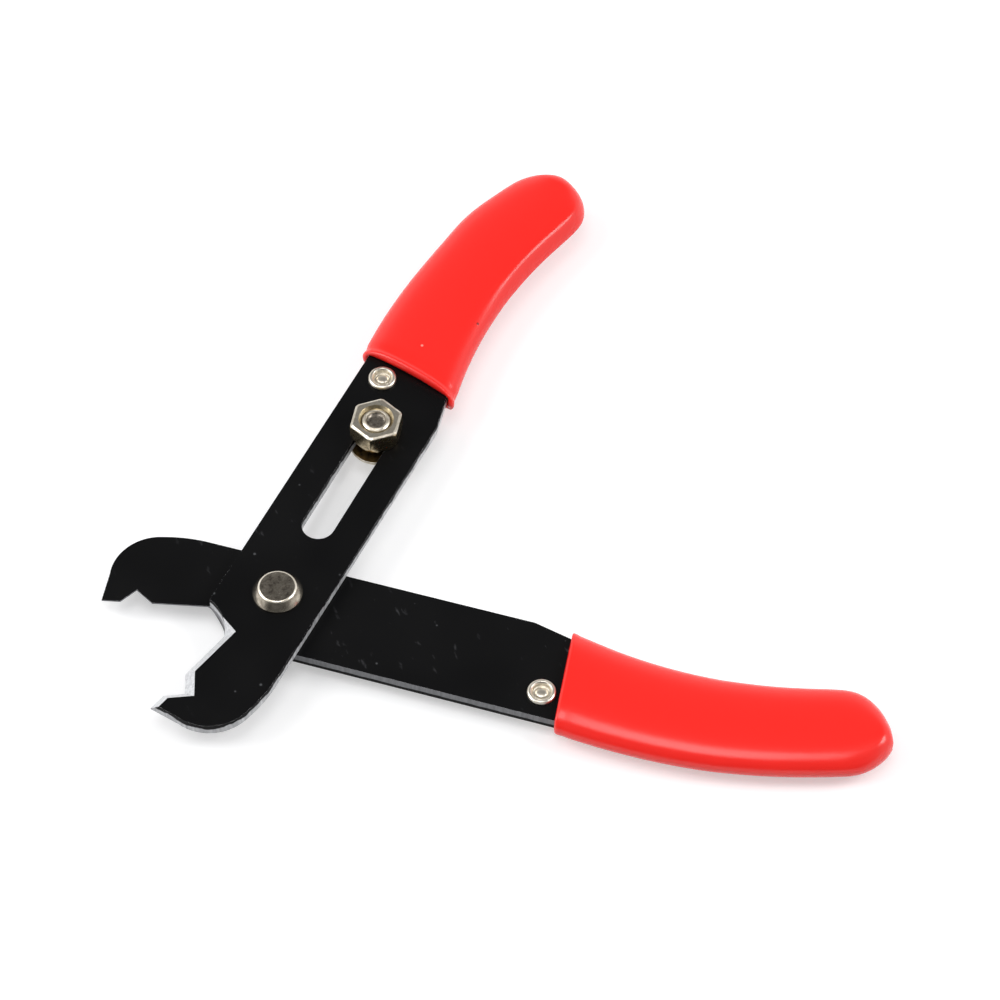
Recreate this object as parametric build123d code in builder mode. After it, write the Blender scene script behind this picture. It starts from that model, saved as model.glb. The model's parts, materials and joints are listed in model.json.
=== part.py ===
from build123d import *
from math import asin, atan2, cos, degrees, hypot, radians, sin, tan
import os

# Adjustable wire stripper: two stamped steel arms crossing on a pivot rivet, lying open and flat.
# Origin on the pivot axis at the surface that the tool lies on. +Z up, the jaws point to -X, and
# the two handles open evenly about +X. Both arms are one stamped blank, one face up and one face
# down, so each is drawn in its own plane: x runs along the arm from the pivot to the handle, and
# y points to the arm's outer edge. All sizes are in millimetres.

# Arms
plate = 2.2
arm_gap = 0.04
half_open_angle = 40.4
outer_edge = 9.35
inner_corner = (41.5, -8.15)
inner_middle = (0.0, -7.9)
throat_top_x = -6.1
throat_turn = (-7.8, 6.1)
edge_heel = (-10.2, 4.38)
grind_heel = (-10.65, 4.48)
grind_lean = 26
notch_heel = (-19.6, 6.57)
notch_root = (-22.9, 4.85)
notch_toe = (-24.7, 7.75)
jaw_tip = (-27.7, 8.45)
nose = (-28.2, 3.2)
nose_turn = (-27.2, -2.8)
jaw_back = (-22.4, -6.35)
jaw_back_turn = (-18.6, -7.25)
jaw_heel = (-14.0, -7.6)
edge_land = 0.3
bevel_width = 1.7
grind_run_out = 6.0

# Slot and stop
slot_width = 5.6
slot_y = 0.3
slot_near_x = 14.9
slot_far_x = 36.2
stop_end_gap = 0.3
stop_face_gap = 0.03
thread_radius = 2.45
thread_fit = 0.05
stop_head_radius = 4.7
stop_head_height = 2.0
stop_head_edge = 0.5
driver_slot_width = 1.2
driver_slot_depth = 0.9
screw_end_below_nut = 0.1
screw_end_chamfer = 0.4
screw_cup_radius = 1.6
screw_cup_depth = 0.8
nut_across_flats = 8.0
nut_height = 4.0
nut_turned = 14.0
nut_face_inset = 0.3
nut_chamfer = 0.25
nut_chamfer_run_out = 0.1
nut_countersink = 0.2

# Pivot
rear_head_radius = 5.4
rear_head_height = 0.9
rear_head_edge = 0.25
shoulder_radius = 3.3
pivot_radius = 2.5
pivot_fit = 0.05
pivot_seat_fit = 0.01
front_head_base_radius = 4.15
front_head_top_radius = 3.05
front_head_height = 1.8
front_head_rim = 0.3
head_face_gap = 0.03

# Return spring
spring_wire = 0.8
spring_pitch = 0.87
spring_coil_radius = 4.4
spring_full_turns = 1
spring_side_gap = 0.06
coil_arcs = 5
hook_fit = 0.03
hook_wrap = 190

# Spring rivets and spacer
rivet_to_mouth = 3.2
rivet_y = 4.6
rivet_shank_radius = 1.6
rivet_hole_fit = 0.01
rivet_roll_radius = 2.4
rivet_roll_edge_height = 0.35
rivet_roll_top_radius = 2.03
rivet_roll_height = 0.8
rivet_recess_radius = 1.45
rivet_recess_height = 0.45
rivet_cup_radius = 0.95
rivet_cup_depth = 0.16
rivet_dome_radius = 0.5
rivet_dome_height = 0.1
rivet_head_radius = 2.4
rivet_head_height = 0.75
rivet_head_edge = 0.2
leg_side_gap = 0.05
spacer_radius = 2.3
spacer_fit = 0.05

# Sleeves
sleeve_wall = 1.3
sleeve_cover = 1.7
sleeve_fit = 0.04
sleeve_edge_radius = 2.2
sleeve_lip_radius = 0.7
sleeve_end_radius = 4.0
pocket_run_out = 2.5
drip_radius = 1.2
drip_point = (101.7, -2.9)
mouth_outer = (49.6, 10.3)
mouth_inner = (47.4, -8.25)
grip_outer_turn = (72.5, 9.8)
grip_outer_end = (94.7, 4.15)
grip_inner_end = (91.4, -10.9)
grip_inner_turn = (70.0, -6.45)
outer_end_inward = (-0.4, -0.92)
inner_end_inward = (0.17, 1.0)
lower_mouth_shift = 0.5
lower_end_shift = 1.7

os.makedirs("parts", exist_ok=True)

# Heights, from the surface upward
wind_angle = 360 * spring_full_turns + 180 - 2 * half_open_angle
coil_rise = spring_pitch * wind_angle / 360
low_leg_z = rear_head_height + spring_side_gap + spring_wire / 2
high_leg_z = low_leg_z + coil_rise
lower_arm_back = high_leg_z + spring_wire / 2 + spring_side_gap
lower_arm_face = lower_arm_back + plate
upper_arm_face = lower_arm_face + arm_gap
upper_arm_top = upper_arm_face + plate
nut_bottom = upper_arm_top + stop_face_gap
nut_top = nut_bottom + nut_height

# Each arm's own plane lies on the face where the two arms meet, and faces away from the other arm.
upper_plane = Plane(
    origin=(0, 0, upper_arm_face),
    x_dir=(cos(radians(half_open_angle)), sin(radians(half_open_angle)), 0),
    z_dir=(0, 0, 1),
)
lower_plane = Plane(
    origin=(0, 0, lower_arm_face),
    x_dir=(cos(radians(half_open_angle)), -sin(radians(half_open_angle)), 0),
    z_dir=(0, 0, -1),
)


def upright(arm_plane, x, y):
    """Vertical plane through a point of an arm: its x is a radius, its y is the height."""
    at = arm_plane.from_local_coords(Vector(x, y, 0))
    return Plane(origin=(at.X, at.Y, 0), x_dir=(1, 0, 0), z_dir=(0, -1, 0))


def upright_axis(arm_plane, x, y):
    """Vertical axis through a point of an arm."""
    at = arm_plane.from_local_coords(Vector(x, y, 0))
    return Axis((at.X, at.Y, 0), (0, 0, 1))


# Handle outline: the sleeve's outer shape, or the steel's inside it when it is moved inward
def moved(point, direction, distance):
    """A point moved along a direction."""
    return (point[0] + direction[0] * distance, point[1] + direction[1] * distance)


def handle_points(inset, mouth_shift=0, end_shift=0):
    """The outline's six points: along the outer side, round the end, and back along the inner side."""
    return (
        (mouth_outer[0] + mouth_shift, mouth_outer[1] - inset),
        moved(grip_outer_turn, (0, -1), inset),
        moved((grip_outer_end[0] + end_shift, grip_outer_end[1]), outer_end_inward, inset),
        moved((grip_inner_end[0] + end_shift, grip_inner_end[1]), inner_end_inward, inset),
        moved(grip_inner_turn, (0, 1), inset),
        (mouth_inner[0] + mouth_shift, mouth_inner[1] + inset),
    )


def handle_outline(inset, mouth_shift=0, end_shift=0):
    """Closed outline of the handle from the sleeve's mouth to its end."""
    start, turn, end, back, back_turn, back_start = handle_points(inset, mouth_shift, end_shift)
    with BuildSketch() as outline:
        with BuildLine():
            outer_side = ThreePointArc(start, turn, end)
            TangentArc(end, back, tangent=outer_side % 1)
            ThreePointArc(back, back_turn, back_start)
            Line(back_start, start)
        make_face()
        fillet(outline.vertices().sort_by_distance((back[0], back[1], 0))[0], sleeve_end_radius - inset)
    return outline.sketch


# Stamped arm blank, shared by both arms
rivet_x = mouth_outer[0] - rivet_to_mouth
start, turn, end, back, back_turn, back_start = handle_points(sleeve_wall)
with BuildSketch() as arm_blank:
    with BuildLine():
        Line((throat_top_x, outer_edge), start)
        tang_side = ThreePointArc(start, turn, end)
        TangentArc(end, back, tangent=tang_side % 1)
        ThreePointArc(back, back_turn, back_start)
        Polyline(back_start, inner_corner, inner_middle, jaw_heel)
        ThreePointArc(jaw_heel, jaw_back_turn, jaw_back)
        ThreePointArc(jaw_back, nose_turn, nose)
        Polyline(nose, jaw_tip, notch_toe, notch_root, notch_heel, edge_heel)
        ThreePointArc(edge_heel, throat_turn, (throat_top_x, outer_edge))
    make_face()
    fillet(
        arm_blank.vertices().sort_by_distance((back[0], back[1], 0))[0],
        sleeve_end_radius - sleeve_wall,
    )

# Ground bevel behind the cutting edge and the notch, as the space that the grinding opens
edge_slope = (notch_heel[1] - edge_heel[1]) / (notch_heel[0] - edge_heel[0])
past_tip = moved(jaw_tip, (-1, -edge_slope), grind_run_out)
past_top = outer_edge + grind_run_out
bevel_angle = degrees(atan2(bevel_width, plate - edge_land))
with BuildSketch() as grinding:
    with BuildLine():
        Polyline(
            grind_heel,
            notch_heel,
            notch_root,
            notch_toe,
            past_tip,
            (past_tip[0], past_top),
            (grind_heel[0] + (past_top - grind_heel[1]) * tan(radians(grind_lean)), past_top),
            close=True,
        )
    make_face()

# Upper arm: blank, bevel, slot for the stop, pivot hole and rivet hole
with BuildPart() as upper_arm:
    with BuildSketch(upper_plane):
        add(arm_blank.sketch)
    extrude(amount=plate)
    with BuildSketch(upper_plane.offset(edge_land)):
        add(grinding.sketch)
    extrude(amount=plate, taper=-bevel_angle, mode=Mode.SUBTRACT)
    with BuildSketch(upper_plane):
        with Locations(((slot_near_x + slot_far_x) / 2, slot_y)):
            SlotCenterToCenter(slot_far_x - slot_near_x, slot_width)
        Circle(pivot_radius + pivot_fit)
        with Locations((rivet_x, rivet_y)):
            Circle(rivet_shank_radius + rivet_hole_fit)
    extrude(amount=plate, mode=Mode.SUBTRACT)

# Lower arm: the same blank turned face down, without the slot
with BuildPart() as lower_arm:
    with BuildSketch(lower_plane):
        add(arm_blank.sketch)
    extrude(amount=plate)
    with BuildSketch(lower_plane.offset(edge_land)):
        add(grinding.sketch)
    extrude(amount=plate, taper=-bevel_angle, mode=Mode.SUBTRACT)
    with BuildSketch(lower_plane):
        Circle(pivot_radius + pivot_seat_fit)
        with Locations((rivet_x, rivet_y)):
            Circle(rivet_shank_radius + rivet_hole_fit)
    extrude(amount=plate, mode=Mode.SUBTRACT)


# Sleeves: soft tubes closed at the end, pushed over the handles. Each is dipped by itself: the lower
# one has a thicker end, with the drip on it, and sits a little farther from the rivet.
sleeve_height = plate + 2 * sleeve_cover
pocket_inset = sleeve_wall - sleeve_fit
pocket_outline = handle_outline(pocket_inset)
pocket_outer = moved(mouth_outer, (0, -1), pocket_inset)
pocket_inner = moved(mouth_inner, (0, 1), pocket_inset)


def build_sleeve(arm_plane, mouth_shift, end_shift, drip):
    """One sleeve on its arm: rounded body, any drip at its end, and the pocket for the steel."""
    mouth_x = (mouth_outer[0] + mouth_inner[0]) / 2 + mouth_shift
    mouth_y = (mouth_outer[1] + mouth_inner[1]) / 2
    mouth_middle = arm_plane.from_local_coords(Vector(mouth_x, mouth_y, plate / 2))
    with BuildPart() as sleeve:
        with BuildSketch(arm_plane.offset(-sleeve_cover)):
            add(handle_outline(0, mouth_shift, end_shift))
        extrude(amount=sleeve_height)
        mouth_face = sleeve.faces().sort_by_distance(mouth_middle)[0]
        mouth_edges = mouth_face.edges()
        rims = sleeve.edges().filter_by(Axis.Z, reverse=True) - mouth_edges
        fillet(rims, sleeve_edge_radius)
        mouth_face = sleeve.faces().sort_by_distance(mouth_middle)[0]
        fillet(mouth_face.edges(), sleeve_lip_radius)
        for x, y in drip:
            with Locations(arm_plane.from_local_coords(Vector(x, y, plate / 2))):
                Sphere(drip_radius)
        with BuildSketch(arm_plane.offset(-sleeve_fit)):
            add(pocket_outline)
            with BuildLine():
                Polyline(
                    pocket_outer,
                    moved(pocket_outer, (-1, 0), pocket_run_out),
                    moved(pocket_inner, (-1, 0), pocket_run_out),
                    pocket_inner,
                    close=True,
                )
            make_face()
        extrude(amount=plate + 2 * sleeve_fit, mode=Mode.SUBTRACT)
    return sleeve.part


upper_grip = build_sleeve(upper_plane, 0, 0, [])
lower_grip = build_sleeve(lower_plane, lower_mouth_shift, lower_end_shift, [drip_point])

# Pivot rivet: rear head on the surface, shoulder that the spring winds round, pin and front head
front_head_face = upper_arm_top + head_face_gap
with BuildPart() as pivot_rivet:
    with BuildSketch(Plane.XZ):
        with BuildLine():
            Polyline(
                (0, 0),
                (rear_head_radius - rear_head_edge, 0),
                (rear_head_radius, rear_head_edge),
                (rear_head_radius, rear_head_height),
                (shoulder_radius, rear_head_height),
                (shoulder_radius, lower_arm_back),
                (pivot_radius, lower_arm_back),
                (pivot_radius, front_head_face),
                (front_head_base_radius, front_head_face),
                (front_head_base_radius, front_head_face + front_head_rim),
                (front_head_top_radius, front_head_face + front_head_height),
                (0, front_head_face + front_head_height),
                close=True,
            )
        make_face()
    revolve(axis=Axis.Z)

# Return spring: a coil round the pivot's shoulder, with a leg along the back of each arm that ends
# in a hook round the rivet there. Each leg runs along its arm's outer side, clear of the slot.
hook_radius = rivet_shank_radius + spring_wire / 2 + hook_fit
rivet_bearing = degrees(atan2(rivet_y, rivet_x))
leg_bearing = rivet_bearing - degrees(asin((spring_coil_radius - hook_radius) / hypot(rivet_x, rivet_y)))
leg_normal = (-sin(radians(leg_bearing)), cos(radians(leg_bearing)))
leg_start = (spring_coil_radius * leg_normal[0], spring_coil_radius * leg_normal[1])
leg_end = (rivet_x + hook_radius * leg_normal[0], rivet_y + hook_radius * leg_normal[1])
leg_direction = (cos(radians(leg_bearing)), sin(radians(leg_bearing)))
coil_start_angle = half_open_angle + leg_bearing + 90
coil_sweep = 360 * spring_full_turns + 180 - 2 * (half_open_angle + leg_bearing)
coil_plane = Plane(
    origin=(0, 0, low_leg_z),
    x_dir=(cos(radians(coil_start_angle)), sin(radians(coil_start_angle)), 0),
    z_dir=(0, 0, 1),
)


def coil_point(share):
    """A point of the coil's rising centre line, from 0 at the low leg to 1 at the high leg."""
    turned = radians(coil_sweep * share)
    return (spring_coil_radius * cos(turned), spring_coil_radius * sin(turned), coil_rise * share)


def draw_leg(leg_plane):
    """One straight leg of the spring with its hook."""
    with BuildPart() as leg:
        with BuildLine(leg_plane) as path:
            Line(leg_start, leg_end)
            JernArc(start=leg_end, tangent=leg_direction, radius=hook_radius, arc_size=-hook_wrap)
        with BuildSketch(Plane(origin=path.line @ 0, z_dir=path.line % 0)):
            Circle(spring_wire / 2)
        sweep(path=path.line)
    return leg.part


low_leg = draw_leg(upper_plane.offset(low_leg_z - upper_arm_face))
high_leg = draw_leg(lower_plane.offset(lower_arm_face - high_leg_z))
with BuildPart() as return_spring:
    with BuildLine(coil_plane) as coil:
        for i in range(coil_arcs):
            arc_ends = (coil_point(i / coil_arcs), coil_point((i + 1) / coil_arcs))
            ThreePointArc(arc_ends[0], coil_point((i + 0.5) / coil_arcs), arc_ends[1])
    with BuildSketch(Plane(origin=coil.line @ 0, z_dir=coil.line % 0)):
        Circle(spring_wire / 2)
    sweep(path=coil.line)
    with Locations(coil.line @ 0, coil.line @ 1):
        Sphere(spring_wire / 2)
    add(low_leg)
    add(high_leg)


# Spring rivets: head at the back, shank through spring and arm, end rolled outward over the face
def rivet_outline(face_height, head_top):
    """Half section of a semi-tubular rivet with its rolled end on the face at face_height."""
    head_bottom = head_top - rivet_head_height
    with BuildSketch() as section:
        with BuildLine():
            Polyline(
                (0, face_height + rivet_dome_height),
                (rivet_dome_radius, face_height + rivet_dome_height),
                (rivet_cup_radius, face_height - rivet_cup_depth),
                (rivet_recess_radius, face_height + rivet_recess_height),
                (rivet_roll_top_radius, face_height + rivet_roll_height),
                (rivet_roll_radius, face_height + rivet_roll_edge_height),
                (rivet_roll_radius, face_height),
                (rivet_shank_radius, face_height),
                (rivet_shank_radius, head_top),
                (rivet_head_radius, head_top),
                (rivet_head_radius, head_bottom + rivet_head_edge),
                (rivet_head_radius - rivet_head_edge, head_bottom),
                (0, head_bottom),
                close=True,
            )
        make_face()
    return section.sketch


low_head_top = low_leg_z - spring_wire / 2 - leg_side_gap
high_head_top = high_leg_z - spring_wire / 2 - leg_side_gap
with BuildPart() as upper_rivet:
    with BuildSketch(upright(upper_plane, rivet_x, rivet_y)):
        add(rivet_outline(upper_arm_top, low_head_top))
    revolve(axis=upright_axis(upper_plane, rivet_x, rivet_y))

with BuildPart() as lower_rivet:
    with BuildSketch(upright(lower_plane, rivet_x, rivet_y)):
        add(rivet_outline(lower_arm_face, high_head_top))
    revolve(axis=upright_axis(lower_plane, rivet_x, rivet_y))

# Spacer: holds the upper arm's spring leg down in the spring's own plane
spacer_bottom = low_leg_z + spring_wire / 2 + leg_side_gap
with BuildPart() as rivet_spacer:
    with BuildSketch(upper_plane.offset(spacer_bottom - upper_arm_face)):
        with Locations((rivet_x, rivet_y)):
            Circle(spacer_radius)
            Circle(rivet_shank_radius + spacer_fit, mode=Mode.SUBTRACT)
    extrude(amount=upper_arm_face - spacer_bottom)

# Stop screw: round head under the upper arm, thread through slot and nut, cupped end
stop_x = slot_far_x - stop_end_gap
screw_head_top = upper_arm_face - stop_face_gap
screw_head_bottom = screw_head_top - stop_head_height
screw_end = nut_top - screw_end_below_nut
with BuildPart() as stop_screw:
    with BuildSketch(upright(upper_plane, stop_x, slot_y)):
        with BuildLine():
            Polyline(
                (0, screw_head_bottom),
                (stop_head_radius - stop_head_edge, screw_head_bottom),
                (stop_head_radius, screw_head_bottom + stop_head_edge),
                (stop_head_radius, screw_head_top),
                (thread_radius, screw_head_top),
                (thread_radius, screw_end - screw_end_chamfer),
                (thread_radius - screw_end_chamfer, screw_end),
                (screw_cup_radius, screw_end),
                (0, screw_end - screw_cup_depth),
                close=True,
            )
        make_face()
    revolve(axis=upright_axis(upper_plane, stop_x, slot_y))
    with BuildSketch(upper_plane.offset(screw_head_bottom - upper_arm_face)):
        with Locations((stop_x, slot_y)):
            Rectangle(2 * stop_head_radius + driver_slot_width, driver_slot_width)
    extrude(amount=driver_slot_depth, mode=Mode.SUBTRACT)

# Stop nut: hexagon with both faces chamfered round and both mouths of the bore countersunk
nut_corner = nut_across_flats / 2 / cos(radians(30))
bore_radius = thread_radius + thread_fit
chamfer_radius = nut_corner + nut_chamfer_run_out
face_radius = nut_corner - nut_face_inset
with BuildPart() as stop_nut:
    with BuildSketch(upper_plane.offset(nut_bottom - upper_arm_face)):
        with Locations((stop_x, slot_y)):
            RegularPolygon(nut_corner, 6, rotation=nut_turned)
    extrude(amount=nut_height)
    with BuildSketch(upright(upper_plane, stop_x, slot_y)):
        with BuildLine():
            Polyline(
                (bore_radius + nut_countersink, nut_bottom),
                (face_radius, nut_bottom),
                (chamfer_radius, nut_bottom + nut_chamfer),
                (chamfer_radius, nut_top - nut_chamfer),
                (face_radius, nut_top),
                (bore_radius + nut_countersink, nut_top),
                (bore_radius, nut_top - nut_countersink),
                (bore_radius, nut_bottom + nut_countersink),
                close=True,
            )
        make_face()
    revolve(axis=upright_axis(upper_plane, stop_x, slot_y), mode=Mode.INTERSECT)

# Named pieces
upper_arm.part.label = "upper_arm"
lower_arm.part.label = "lower_arm"
upper_grip.label = "upper_grip"
lower_grip.label = "lower_grip"
pivot_rivet.part.label = "pivot_rivet"
return_spring.part.label = "return_spring"
upper_rivet.part.label = "upper_rivet"
lower_rivet.part.label = "lower_rivet"
rivet_spacer.part.label = "rivet_spacer"
stop_screw.part.label = "stop_screw"
stop_nut.part.label = "stop_nut"
export_step(upper_arm.part, "parts/upper_arm.step")
export_step(lower_arm.part, "parts/lower_arm.step")
export_step(upper_grip, "parts/upper_grip.step")
export_step(lower_grip, "parts/lower_grip.step")
export_step(pivot_rivet.part, "parts/pivot_rivet.step")
export_step(return_spring.part, "parts/return_spring.step")
export_step(upper_rivet.part, "parts/upper_rivet.step")
export_step(lower_rivet.part, "parts/lower_rivet.step")
export_step(rivet_spacer.part, "parts/rivet_spacer.step")
export_step(stop_screw.part, "parts/stop_screw.step")
export_step(stop_nut.part, "parts/stop_nut.step")
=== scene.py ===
import json
from math import asin, atan2, cos, degrees, exp, log, pi, radians, sin, sqrt

import bmesh
import bpy
from mathutils import Matrix, Vector
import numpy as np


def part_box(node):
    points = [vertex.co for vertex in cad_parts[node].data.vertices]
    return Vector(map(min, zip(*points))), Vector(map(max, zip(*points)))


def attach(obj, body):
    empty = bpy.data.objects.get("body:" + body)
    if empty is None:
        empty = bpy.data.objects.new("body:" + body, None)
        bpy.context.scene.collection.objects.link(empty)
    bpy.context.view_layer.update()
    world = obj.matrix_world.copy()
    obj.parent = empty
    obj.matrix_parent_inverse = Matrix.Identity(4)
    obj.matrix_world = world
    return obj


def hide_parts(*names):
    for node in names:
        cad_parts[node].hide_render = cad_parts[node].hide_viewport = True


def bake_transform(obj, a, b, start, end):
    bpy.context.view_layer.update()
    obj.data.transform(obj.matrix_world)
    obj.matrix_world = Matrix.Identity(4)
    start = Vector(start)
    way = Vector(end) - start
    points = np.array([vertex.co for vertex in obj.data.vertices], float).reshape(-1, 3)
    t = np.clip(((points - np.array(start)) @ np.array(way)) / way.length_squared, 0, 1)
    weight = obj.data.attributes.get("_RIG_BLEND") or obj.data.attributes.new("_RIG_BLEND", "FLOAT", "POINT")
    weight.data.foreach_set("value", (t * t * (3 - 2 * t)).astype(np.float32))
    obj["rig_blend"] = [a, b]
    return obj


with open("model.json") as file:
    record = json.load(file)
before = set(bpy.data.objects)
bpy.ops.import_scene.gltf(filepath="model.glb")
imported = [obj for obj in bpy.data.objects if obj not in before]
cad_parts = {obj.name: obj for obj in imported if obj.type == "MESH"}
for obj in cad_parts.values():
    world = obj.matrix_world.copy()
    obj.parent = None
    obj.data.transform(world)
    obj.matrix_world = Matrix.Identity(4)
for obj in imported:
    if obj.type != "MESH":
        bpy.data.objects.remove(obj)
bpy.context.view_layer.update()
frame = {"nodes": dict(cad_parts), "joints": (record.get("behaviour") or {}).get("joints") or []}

# Camera. It looks down on the open tool from the front left, from about two thirds of a metre,
# through a long lens. Places are in the tool's own frame, in millimetres.
mm = 0.001
camera_place = Vector((-108.4, -337.8, 532.2)) * mm
camera_target = Vector((41.37, 4.10, 5.13)) * mm
camera_roll = 0.29
lens_length = 139.3

camera_data = bpy.data.cameras.new("camera")
camera_data.lens = lens_length
camera_data.sensor_width = 36.0
camera_data.clip_start = 0.01
camera_data.clip_end = 20.0
camera = bpy.data.objects.new("camera", camera_data)
camera.location = camera_place
camera.rotation_mode = "QUATERNION"
camera.rotation_quaternion = (camera_target - camera_place).to_track_quat("-Z", "Y")
camera.rotation_quaternion @= Matrix.Rotation(radians(camera_roll), 3, "Z").to_quaternion()
bpy.context.scene.collection.objects.link(camera)
bpy.context.scene.camera = camera
bpy.context.scene.view_settings.view_transform = "Standard"


# Floor. A sheet of matt white paper far larger than the view. Seen by the camera, and mirrored in
# the metal, it is lifted to plain white, and it keeps the tool's soft shadow.
floor_size = 3.0
floor_lift = 0.43
paper_colour = "#D9D9DA"


def linear(hex_colour):
    """An sRGB hex colour as linear red, green, blue and alpha."""
    channels = [int(hex_colour[i:i + 2], 16) / 255 for i in (1, 3, 5)]
    return [c / 12.92 if c <= 0.04045 else ((c + 0.055) / 1.055) ** 2.4 for c in channels] + [1.0]


def new_material(name):
    """An empty material and its node tree."""
    material = bpy.data.materials.new(name)
    material.use_nodes = True
    material.node_tree.nodes.clear()
    return material


def node(tree, kind, settings=None, inputs=None):
    """Adds a node; each input is set to a value, or linked when the value is a socket."""
    added = tree.nodes.new(kind)
    for key, value in (settings or {}).items():
        setattr(added, key, value)
    for key, value in (inputs or {}).items():
        if isinstance(value, bpy.types.NodeSocket):
            tree.links.new(value, added.inputs[key])
        else:
            added.inputs[key].default_value = value
    return added


floor_mesh = bpy.data.meshes.new("floor")
floor_form = bmesh.new()
bmesh.ops.create_grid(floor_form, x_segments=1, y_segments=1, size=floor_size / 2)
floor_form.to_mesh(floor_mesh)
floor = bpy.data.objects.new("floor", floor_mesh)
bpy.context.scene.collection.objects.link(floor)

white_paper = new_material("white_paper")
paper = white_paper.node_tree
seen = node(paper, "ShaderNodeLightPath")
seen_or_mirrored = node(paper, "ShaderNodeMath", {"operation": "MAXIMUM"}, {
    0: seen.outputs["Is Camera Ray"],
    1: seen.outputs["Is Glossy Ray"],
})
lift = node(paper, "ShaderNodeMath", {"operation": "MULTIPLY"}, {
    0: seen_or_mirrored.outputs[0],
    1: floor_lift,
})
matt = node(paper, "ShaderNodeBsdfDiffuse", None, {"Color": linear(paper_colour)})
glow = node(paper, "ShaderNodeEmission", None, {"Strength": lift.outputs[0]})
both = node(paper, "ShaderNodeAddShader", None, {0: matt.outputs[0], 1: glow.outputs[0]})
node(paper, "ShaderNodeOutputMaterial", None, {"Surface": both.outputs[0]})
floor_mesh.materials.append(white_paper)


# Light. A white tent, open above: its walls glow at the back and the sides, the front and the roof
# are dim. Soft boxes stand left and right of the camera, and a third hangs over the tool.
tent_wall = 1.0
tent_front = 0.14
tent_roof = 0.17
tent_back = Vector((0.401, 0.916, 0.0))
front_turn = (-0.85, -0.25)
roof_rise = (0.34, 0.80)
tool_middle = (0.03, 0.0, 0.0)

tent = bpy.data.worlds.new("light_tent")
tent.use_nodes = True
tent.node_tree.nodes.clear()
sky = tent.node_tree
direction = node(sky, "ShaderNodeTexCoord").outputs["Generated"]
height = node(sky, "ShaderNodeSeparateXYZ", None, {"Vector": direction})
backward = node(sky, "ShaderNodeVectorMath", {"operation": "DOT_PRODUCT"}, {0: direction, 1: tent_back})
wall_level = node(sky, "ShaderNodeMapRange", {"interpolation_type": "SMOOTHSTEP"}, {
    "Value": backward.outputs["Value"],
    "From Min": front_turn[0],
    "From Max": front_turn[1],
    "To Min": tent_front,
    "To Max": tent_wall,
})
roof_share = node(sky, "ShaderNodeMapRange", {"interpolation_type": "SMOOTHSTEP"}, {
    "Value": height.outputs["Z"],
    "From Min": roof_rise[0],
    "From Max": roof_rise[1],
})
tent_level = node(sky, "ShaderNodeMix", {"data_type": "FLOAT"}, {
    0: roof_share.outputs["Result"],
    2: wall_level.outputs["Result"],
    3: tent_roof,
})
tent_light = node(sky, "ShaderNodeBackground", None, {
    "Color": (1, 1, 1, 1),
    "Strength": tent_level.outputs[0],
})
tent_white = node(sky, "ShaderNodeBackground", None, {"Color": (1, 1, 1, 1), "Strength": 1.0})
tent_seen = node(sky, "ShaderNodeLightPath")
tent_shader = node(sky, "ShaderNodeMixShader", None, {
    0: tent_seen.outputs["Is Camera Ray"],
    1: tent_light.outputs[0],
    2: tent_white.outputs[0],
})
node(sky, "ShaderNodeOutputWorld", None, {"Surface": tent_shader.outputs[0]})
bpy.context.scene.world = tent


def soft_box(name, place, width, watts):
    """A square lamp that points at the tool."""
    lamp = bpy.data.lights.new(name, "AREA")
    lamp.shape = "RECTANGLE"
    lamp.size = width
    lamp.size_y = width
    lamp.energy = watts
    holder = bpy.data.objects.new(name, lamp)
    holder.location = place
    holder.rotation_mode = "QUATERNION"
    holder.rotation_quaternion = (Vector(tool_middle) - Vector(place)).to_track_quat("-Z", "Y")
    bpy.context.scene.collection.objects.link(holder)


soft_box("left_box", (-0.65, 0.30, 0.72), 0.6, 4.8)
soft_box("right_box", (0.70, -0.30, 0.72), 0.4, 3.8)
soft_box("top_box", (-0.10, -0.14, 1.0), 0.45, 2.7)


# Upper arm. Spring steel plate, stamped to outline in one stroke, ground to a bevel along the jaw's
# edge and in the wire notch, and stove enamelled black. The sheared sides and the ground bevel
# show the steel. It lies on top at the pivot and has the long slot for the stop.
edge_round = 0.2 * mm
edge_segments = 3
seam_distance = 0.001 * mm
flat_angle = radians(1.0)
sharp_angle = radians(22)
flat_lean = 0.99
bevel_lean = 0.1
on_face, on_side, on_bevel, on_rim = range(4)


def coat_coordinates(tree):
    """The piece's own coordinates, in metres."""
    return node(tree, "ShaderNodeTexCoord").outputs["Object"]


def per_size(size_mm):
    """Pattern scale for a feature of this size in millimetres, on coordinates in metres."""
    return 1 / (size_mm * mm)


def ramp(tree, value, low, high, low_colour, high_colour):
    """A colour or grey between two values of an input."""
    blend = node(tree, "ShaderNodeValToRGB", None, {"Fac": value})
    blend.color_ramp.elements[0].position = low
    blend.color_ramp.elements[0].color = low_colour
    blend.color_ramp.elements[1].position = high
    blend.color_ramp.elements[1].color = high_colour
    return blend.outputs["Color"]


black = (0, 0, 0, 1)
white = (1, 1, 1, 1)


def grey(level):
    """A grey of this level, as linear red, green, blue and alpha."""
    return (level, level, level, 1)


# Stove enamel on steel: nearly black and half glossy, with a fine orange peel, a few pale dust
# specks and faint rubbed scratches across the jaws.
enamel_colour = "#0A0A0B"
enamel_speck_colour = "#4A4B4D"
enamel_scratch_colour = "#363638"
peel_size = 0.5
speck_spacing = 5.0
speck_radius_share = 0.035
speck_edge_share = 0.02
scratch_length = 3.0
scratch_stretch = 3.125
scratch_tilt = radians(12)
scratched_patch = 14.0
enamel_gloss = (0.27, 0.38)

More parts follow.
